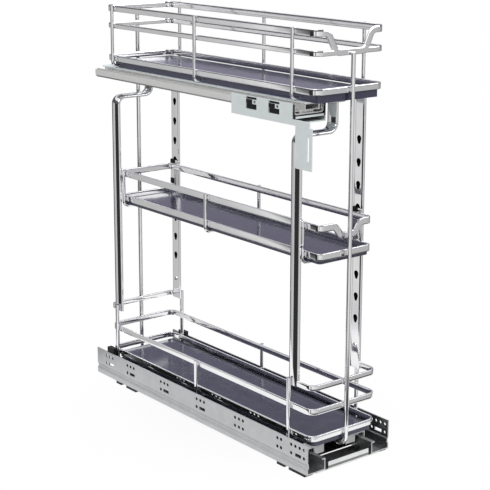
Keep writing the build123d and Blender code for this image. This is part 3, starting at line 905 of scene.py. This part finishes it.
def wires(name, lines, radius, body, replaced):
    """Round chrome wires along bent lines."""
    values = {"Wire radius": radius, "Sides": WIRE_SIDES, "Bend steps": BEND_STEPS, "Material": CHROME}
    return grow(name, bent_path(name, lines), "wire", values, body, replaced)


def bars(name, lines, height, body, replaced=(), thickness=BAR):
    """Flat chrome bars on edge along bent lines."""
    values = {
        "Thickness": thickness,
        "Height": height,
        "Edge radius": BAR_EDGE,
        "Edge steps": EDGE_STEPS,
        "Outer crown": BAR_CROWN,
        "Inner crown": BAR_CROWN,
        "Section cuts": BAR_CUTS,
        "Across": (0.0, 0.0, 1.0),
        "Bend steps": BEND_STEPS,
        "Material": CHROME,
    }
    return grow(name, bent_path(name, lines), "bar", values, body, replaced)


# Wires


def side_wires(node, name, diameter, places, tops, body):
    """The U-shaped wires under a basket: each goes down one side, under the board and up the other side."""
    low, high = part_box(node)
    radius = diameter / 2
    x, z = high.x - radius, low.z + radius
    lines = []
    for place, top in zip(places, tops):
        y = FRONT + place
        lines.append(([(-x, y, top, 0), (-x, y, z, WIRE_BEND), (x, y, z, WIRE_BEND), (x, y, top, 0)], False))
    return wires(name, lines, radius, body, [node])


tray_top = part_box("bottom_side_wires")[1].z
tray_tops = (tray_top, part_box("bottom_upper_rail")[1].z, tray_top)
side_wires("bottom_side_wires", "tray_wires", TRAY_WIRE, WIRE_PLACES, tray_tops, "carriage")
post_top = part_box("top_side_wires")[1].z
side_wires("top_side_wires", "top_basket_wires", BASKET_WIRE, WIRE_PLACES, [post_top] * 3, "carriage")
shelf_post_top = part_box("shelf_side_wires")[1].z
side_wires("shelf_side_wires", "shelf_wires", BASKET_WIRE, SHELF_WIRE_PLACES, [shelf_post_top] * 3, "shelf")

# One wire: up at the front to the handle's dip, along under the tray and up at the rear
rod_low, rod_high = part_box("centre_rod")
rod_front, rod_rear, rod_run = rod_low.y + ROD, rod_high.y - ROD, rod_low.z + ROD
rod_path = [
    (0, rod_front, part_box("top_upper_rail")[0].z + ROD_OVERLAP, 0),
    (0, rod_front, rod_run, ROD_BEND),
    (0, rod_rear, rod_run, ROD_BEND),
    (0, rod_rear, rod_high.z, 0),
]
wires("centre_frame_rod", [(rod_path, False)], ROD, "carriage", ["centre_rod"])


# Rails


def ring(node, corner):
    """Half width, front, rear and bend radius of a rail's centre line round its basket."""
    low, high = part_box(node)
    x, front, rear = high.x - BAR / 2, low.y + BAR / 2, high.y - BAR / 2
    bend = corner - BAR / 2
    return x, front, rear, bend


def rail(node, name, corner, body):
    """A rail bent round a basket and closed on itself."""
    low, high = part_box(node)
    x, front, rear, bend = ring(node, corner)
    z = (low.z + high.z) / 2
    lines = [([(-x, front, z, bend), (x, front, z, bend), (x, rear, z, bend), (-x, rear, z, bend)], True)]
    return bars(name, lines, high.z - low.z, body, [node])


def dipped_rail(node, name, corner, height, dip, start, body):
    """A rail whose front run dips as a handle: dip is its lowest run, start is where the slopes begin."""
    low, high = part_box(node)
    x, front, rear, bend = ring(node, corner)
    z, z_dip = high.z - height / 2, low.z + height / 2
    line = [
        (-x, front, z, bend),
        (start[0], front, z, DIP_BEND),
        (dip[0], front, z_dip, DIP_BEND),
        (dip[1], front, z_dip, DIP_BEND),
        (start[1], front, z, DIP_BEND),
        (x, front, z, bend),
        (x, rear, z, bend),
        (-x, rear, z, bend),
    ]
    return bars(name, [(line, True)], height, body, [node])


rail("bottom_lower_rail", "tray_lower_rail", RAIL_CORNER, "carriage")
rail("bottom_upper_rail", "tray_upper_rail", RAIL_CORNER, "carriage")
rail("top_lower_rail", "top_basket_lower_rail", RAIL_CORNER, "carriage")
rail("top_middle_rail", "top_basket_middle_rail", RAIL_CORNER, "carriage")
rail("shelf_lower_rail", "shelf_edge_rail", SHELF_CORNER, "shelf")
dipped_rail(
    "top_upper_rail",
    "top_basket_handle_rail",
    RAIL_CORNER,
    TOP_HANDLE_HEIGHT,
    TOP_DIP,
    TOP_DIP_START,
    "carriage",
)
dipped_rail(
    "shelf_upper_rail",
    "shelf_handle_rail",
    SHELF_CORNER,
    SHELF_HANDLE_HEIGHT,
    SHELF_DIP,
    SHELF_DIP_START,
    "shelf",
)


def end_hoop(node, name, inward):
    """The bar round one end of the bottom basket, between the legs."""
    low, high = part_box(node)
    x = high.x - BAR / 2
    z = (low.z + high.z) / 2
    end, leg = (low.y + BAR / 2, high.y) if inward > 0 else (high.y - BAR / 2, low.y)
    bend = min(RAIL_CORNER - BAR / 2, abs(leg - end) - HOOP_STRAIGHT)
    x *= inward
    lines = [([(-x, leg, z, 0), (-x, end, z, bend), (x, end, z, bend), (x, leg, z, 0)], False)]
    return bars(name, lines, high.z - low.z, "carriage", [node])


end_hoop("front_end_hoop", "front_hoop_bar", 1)
end_hoop("rear_end_hoop", "rear_hoop_bar", -1)


# Legs


def leg(node, name, side):
    """A leg of the frame; the near ones bend in under the top basket and rise again at its middle."""
    low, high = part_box(node)
    half = LEG_THICKNESS / 2
    x, y = side * (max(abs(low.x), abs(high.x)) - half), (low.y + high.y) / 2
    if side < 0:
        turn_x = high.x - half
        line = [
            (x, y, low.z, 0),
            (x, y, LEG_BAR_HEIGHT, LEG_BEND),
            (turn_x, y, LEG_BAR_HEIGHT, LEG_BEND),
            (turn_x, y, high.z, 0),
        ]
    else:
        line = [(x, y, low.z, 0), (x, y, high.z, 0)]
    return grow(
        name,
        bent_path(name, [(line, False)]),
        "leg",
        {
            "Thickness": LEG_THICKNESS,
            "Height": high.y - low.y,
            "Edge radius": LEG_EDGE,
            "Edge steps": EDGE_STEPS,
            "Outer crown": LEG_CROWN,
            "Inner crown": 0.0,
            "Section cuts": LEG_CUTS,
            "Across": (0.0, -float(side), 0.0),
            "Bend steps": BEND_STEPS,
            "Material": CHROME,
            "First slot": (x - side * half, y, SLOT_FIRST),
            "Slot pitch": SLOT_PITCH,
            "Slots": SLOT_COUNT,
            "Slot head": SLOT_HEAD,
            "Slot foot": SLOT_FOOT,
            "Slot drop": SLOT_DROP,
            "Slot depth": SLOT_DEPTH,
            "Slot shade": SHADE_PAINT,
        },
        "carriage",
        [node],
        sharp=LEG_SHARP,
    )


leg("front_near_leg", "front_near_leg_bar", -1)
leg("rear_near_leg", "rear_near_leg_bar", -1)
leg("front_far_leg", "front_far_leg_bar", 1)
leg("rear_far_leg", "rear_far_leg_bar", 1)


def studs(name, points, radius, depth, dome, body, replaced):
    """Small round heads; every point is (place, the way it faces)."""
    mesh = bpy.data.meshes.new(name)
    mesh.from_pydata([point[0] for point in points], [], [])
    aims = [value for point in points for value in point[1]]
    mesh.attributes.new("aim", "FLOAT_VECTOR", "POINT").data.foreach_set("vector", aims)
    values = {
        "Radius": radius,
        "Depth": depth,
        "Dome": dome,
        "Sides": STUD_SIDES,
        "Rings": STUD_RINGS,
        "Material": CHROME,
    }
    return grow(name, mesh, "stud", values, body, replaced)


bolt_low, bolt_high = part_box("leg_bolts")
leg_places = (mid("front_near_leg", 1), mid("rear_near_leg", 1))
bolt_z = (bolt_low.z + bolt_high.z) / 2
studs(
    "leg_bolt_heads",
    [((side * BOLT_FACE, y, bolt_z), (-side, 0, 0)) for side in (-1, 1) for y in leg_places],
    (bolt_high.z - bolt_low.z) / 2,
    BOLT_DEPTH,
    BOLT_DOME,
    "carriage",
    ["leg_bolts"],
)


def blocks(name, places, size, edge, body, material):
    """The same small block with softened edges at every place."""
    mesh = bpy.data.meshes.new(name)
    mesh.from_pydata(places, [], [])
    values = {"Size": size, "Edge radius": edge, "Material": material}
    return grow(name, mesh, "block", values, body)


# Black moulded pads on the rear part of each window's tongue in the bracket; their black is partly painted
# shade for the dark inside the windows
blocks(
    "bracket_window_pads_and_shade",
    [(PAD_FACE, FRONT + place, WINDOW_HEIGHT) for place in WINDOW_PLACES],
    PAD_SIZE,
    PAD_EDGE,
    "base",
    BLACK_PLASTIC,
)

# Pale strip across the front of the sleeve's floor
sleeve_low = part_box("channel_sleeve")[0]
blocks(
    "sleeve_front_strip",
    [(STRIP_MIDDLE, sleeve_low.y - STRIP_FORWARD, sleeve_low.z + STRIP_RISE)],
    STRIP_SIZE,
    STRIP_EDGE,
    "base",
    BRACKET_ZINC,
)

# Turned-down lip of the plate under the top basket
plate_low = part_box("top_support_plate")[0]
lip_front, lip_level = plate_low.y + LIP_THICKNESS, plate_low.z - LIP_DROP / 2
lip = [
    (LIP_SIDES[0], FRONT + LIP_ENDS[0], lip_level, 0),
    (LIP_SIDES[0], lip_front, lip_level, LIP_BENDS[0]),
    (LIP_SIDES[1], lip_front, lip_level, LIP_BENDS[1]),
    (LIP_SIDES[1], FRONT + LIP_ENDS[1], lip_level, 0),
]
bars("top_plate_lip", [(lip, False)], LIP_DROP, "carriage", thickness=LIP_THICKNESS)


# Black clips that hold the shelf's hook plates
plates_low, plates_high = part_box("shelf_hook_plates")
blocks(
    "shelf_hook_clips",
    [
        (side * (plates_high.x - CLIP_INSET), y + CLIP_OFFSET, z)
        for side in (-1, 1)
        for y in leg_places
        for z in (plates_high.z - CLIP_OFFSET, plates_low.z + CLIP_OFFSET)
    ],
    CLIP_SIZE,
    CLIP_EDGE,
    "shelf",
    BLACK_PLASTIC,
)

# Dark ribbed tray between the base rails at the front, with its guide ribs; its nearly black floor is partly
# painted shade for the dark inside of the base there
strip_rear, tray_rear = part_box("front_cross_strip")[1].y, FRONT + TRAY_DEPTH
tray_middle, tray_length = (strip_rear + tray_rear) / 2, tray_rear - strip_rear
blocks(
    "front_tray_floor_and_shade",
    [(0.0, tray_middle + TRAY_GAP / 2, TRAY_LEVEL)],
    (TRAY_WIDTH, tray_length - TRAY_GAP, TRAY_FLOOR),
    TRAY_CORNER,
    "base",
    SHADE_PAINT,
)
blocks(
    "front_tray_ribs",
    [(x, tray_middle, RIB_LEVEL) for x in RIB_PLACES],
    (RIB_WIDTH, tray_length - 2 * RIB_END, RIB_WIDTH),
    RIB_EDGE,
    "base",
    BLACK_PLASTIC,
)


# Finishes of the CAD nodes that stay

FINISHES = (
    (STRIP_ZINC, ("front_cross_strip", "rear_cross_strip")),
    (RAIL_ZINC, ("left_base_rail", "right_base_rail")),
    (BRACKET_ZINC, ("channel_bracket", "top_support_plate")),
    (SLIDE_STEEL, ("top_channel", "top_member", "top_runner")),
    (DARK_STEEL, ("left_floor_member", "right_floor_member", "left_runner", "right_runner")),
    (BOARD, ("bottom_board", "top_board", "shelf_board")),
    (BLACK_PLASTIC, ("floor_pads", "rear_stop_blocks", "front_buffer", "top_slide_blocks", "channel_sleeve")),
    (PALE_PLASTIC, ("left_floor_glide", "right_floor_glide", "top_member_glide")),
    (PALE_PLASTIC, ("left_runner_glide", "right_runner_glide", "left_runner_cap", "right_runner_cap")),
    (CHROME, ("shelf_hook_plates",)),
)
for finish, nodes in FINISHES:
    for node in nodes:
        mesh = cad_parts[node].data
        mesh.materials.clear()
        mesh.materials.append(finish)


# Floor, lamps, world and camera


def seen_rays(tree):
    """1 for what the camera sees directly, in a reflection or through glass."""
    path = put(tree, "ShaderNodeLightPath").outputs
    shown = maths(tree, "MAXIMUM", path["Is Camera Ray"], path["Is Glossy Ray"])
    return maths(tree, "MAXIMUM", shown, path["Is Transmission Ray"])


def floor():
    """A round of white paper that keeps a faint shadow and fades into the backdrop at its rim."""
    mesh = bpy.data.meshes.new("studio_floor")
    turns = [math.tau * k / FLOOR_SIDES for k in range(FLOOR_SIDES)]
    rim = [(FLOOR_REACH * math.cos(turn), FLOOR_REACH * math.sin(turn), FLOOR_DROP) for turn in turns]
    mesh.from_pydata(rim, [], [tuple(range(FLOOR_SIDES))])
    piece = bpy.data.objects.new("studio_floor", mesh)
    bpy.context.scene.collection.objects.link(piece)
    material = bpy.data.materials.new("studio_paper")
    material.use_nodes = True
    tree = material.node_tree
    tree.nodes.clear()
    paper = put(tree, "ShaderNodeBsdfDiffuse", {"Color": (0.9, 0.9, 0.9, 1)}).outputs[0]
    glow = put(tree, "ShaderNodeEmission", {"Color": (1, 1, 1, 1), "Strength": 1.0}).outputs[0]
    place = piece_place(tree)
    reach = put(tree, "ShaderNodeVectorMath", {0: place}, operation="LENGTH").outputs["Value"]
    fade = spread(tree, reach, PAPER_FADE[0] * FLOOR_REACH, PAPER_FADE[1] * FLOOR_REACH, PAPER_LIT, 1.0)
    shown = maths(tree, "MULTIPLY", seen_rays(tree), fade)
    mixed = put(tree, "ShaderNodeMixShader", {0: shown, 1: paper, 2: glow}).outputs[0]
    put(tree, "ShaderNodeOutputMaterial", {"Surface": mixed})
    mesh.materials.append(material)


def lamp(name, place, aim, size, power):
    """A soft rectangular lamp that faces a point."""
    data = bpy.data.lights.new(name, "AREA")
    data.shape, data.size, data.size_y, data.energy = "RECTANGLE", size[0], size[1], power
    piece = bpy.data.objects.new(name, data)
    piece.location = place
    piece.rotation_euler = (Vector(aim) - Vector(place)).to_track_quat("-Z", "Y").to_euler()
    bpy.context.scene.collection.objects.link(piece)


def heading_part(tree, heading, direction):
    """How far a heading points along a direction."""
    values = {0: heading, 1: direction}
    return put(tree, "ShaderNodeVectorMath", values, operation="DOT_PRODUCT").outputs["Value"]


def studio_world():
    """White for the camera, panels and dark room for what metal reflects, soft light for the rest."""
    world = bpy.data.worlds.new("studio")
    bpy.context.scene.world = world
    world.use_nodes = True
    tree = world.node_tree
    tree.nodes.clear()
    ambient = put(tree, "ShaderNodeBackground", {"Color": (1, 1, 1, 1), "Strength": AMBIENT}).outputs[0]
    heading = put(tree, "ShaderNodeTexCoord").outputs["Generated"]
    side = heading_part(tree, heading, (math.cos(CAMERA_TURN), math.sin(CAMERA_TURN), 0.0))
    back = heading_part(tree, heading, (math.sin(CAMERA_TURN), -math.cos(CAMERA_TURN), 0.0))
    rise = heading_part(tree, heading, (0.0, 0.0, 1.0))
    turn = maths(tree, "ARCTAN2", side, back)
    ramp = put(tree, "ShaderNodeValToRGB", {"Fac": maths(tree, "MULTIPLY_ADD", turn, 1 / math.tau, 0.5)})
    band = ramp.color_ramp
    band.elements.remove(band.elements[1])
    for k, (degrees, level) in enumerate(STUDIO_TURNS):
        stop = band.elements[0] if k == 0 else band.elements.new(0.5)
        stop.position = (degrees + 180) / 360
        stop.color = (level, level, level, 1)
    low_sky = blend_colours(tree, spread(tree, back, *FAR_EDGE, 1.0, 0.0), LOW_SKY, FAR_SKY)
    high_sky = blend_colours(tree, spread(tree, rise, *ZENITH_EDGE, 0.0, 1.0), HIGH_SKY, ZENITH)
    sky = blend_colours(tree, spread(tree, rise, *HIGH_EDGE, 0.0, 1.0), low_sky, high_sky)
    walls = blend_colours(tree, spread(tree, rise, *HORIZON, 0.0, 1.0), ramp.outputs[0], sky)
    seen = blend_colours(tree, spread(tree, rise, *GROUND_EDGE, 1.0, 0.0), walls, GROUND)
    glossy = put(tree, "ShaderNodeLightPath").outputs["Is Glossy Ray"]
    colour = blend_colours(tree, glossy, (1, 1, 1, 1), seen)
    backdrop = put(tree, "ShaderNodeBackground", {"Color": colour, "Strength": 1.0}).outputs[0]
    mixed = put(tree, "ShaderNodeMixShader", {0: seen_rays(tree), 1: ambient, 2: backdrop}).outputs[0]
    put(tree, "ShaderNodeOutputWorld", {"Surface": mixed})


def camera():
    """The camera that sees the unit as the photograph does."""
    data = bpy.data.cameras.new("photo_camera")
    data.lens, data.sensor_width, data.shift_y = CAMERA_LENS, CAMERA_SENSOR, CAMERA_SHIFT
    data.clip_end = 50.0
    piece = bpy.data.objects.new("photo_camera", data)
    piece.location = CAMERA_PLACE
    piece.rotation_mode = "QUATERNION"
    aim = Euler((math.pi / 2 + CAMERA_PITCH, 0.0, CAMERA_TURN)).to_quaternion()
    piece.rotation_quaternion = aim @ Euler((0.0, 0.0, CAMERA_ROLL)).to_quaternion()
    bpy.context.scene.collection.objects.link(piece)
    bpy.context.scene.camera = piece


bpy.context.scene.view_settings.view_transform = "Standard"
floor()
lamp("key_panel", (-1.6, -0.9, 1.7), (0, 0, 0.3), (1.4, 1.4), 18.0)
lamp("fill_panel", (1.2, -1.6, 1.2), (0, 0, 0.3), (1.2, 1.2), 13.0)
lamp("top_panel", (0.1, 0.4, 2.0), (0, 0, 0.2), (1.6, 1.6), 14.0)
studio_world()
camera()
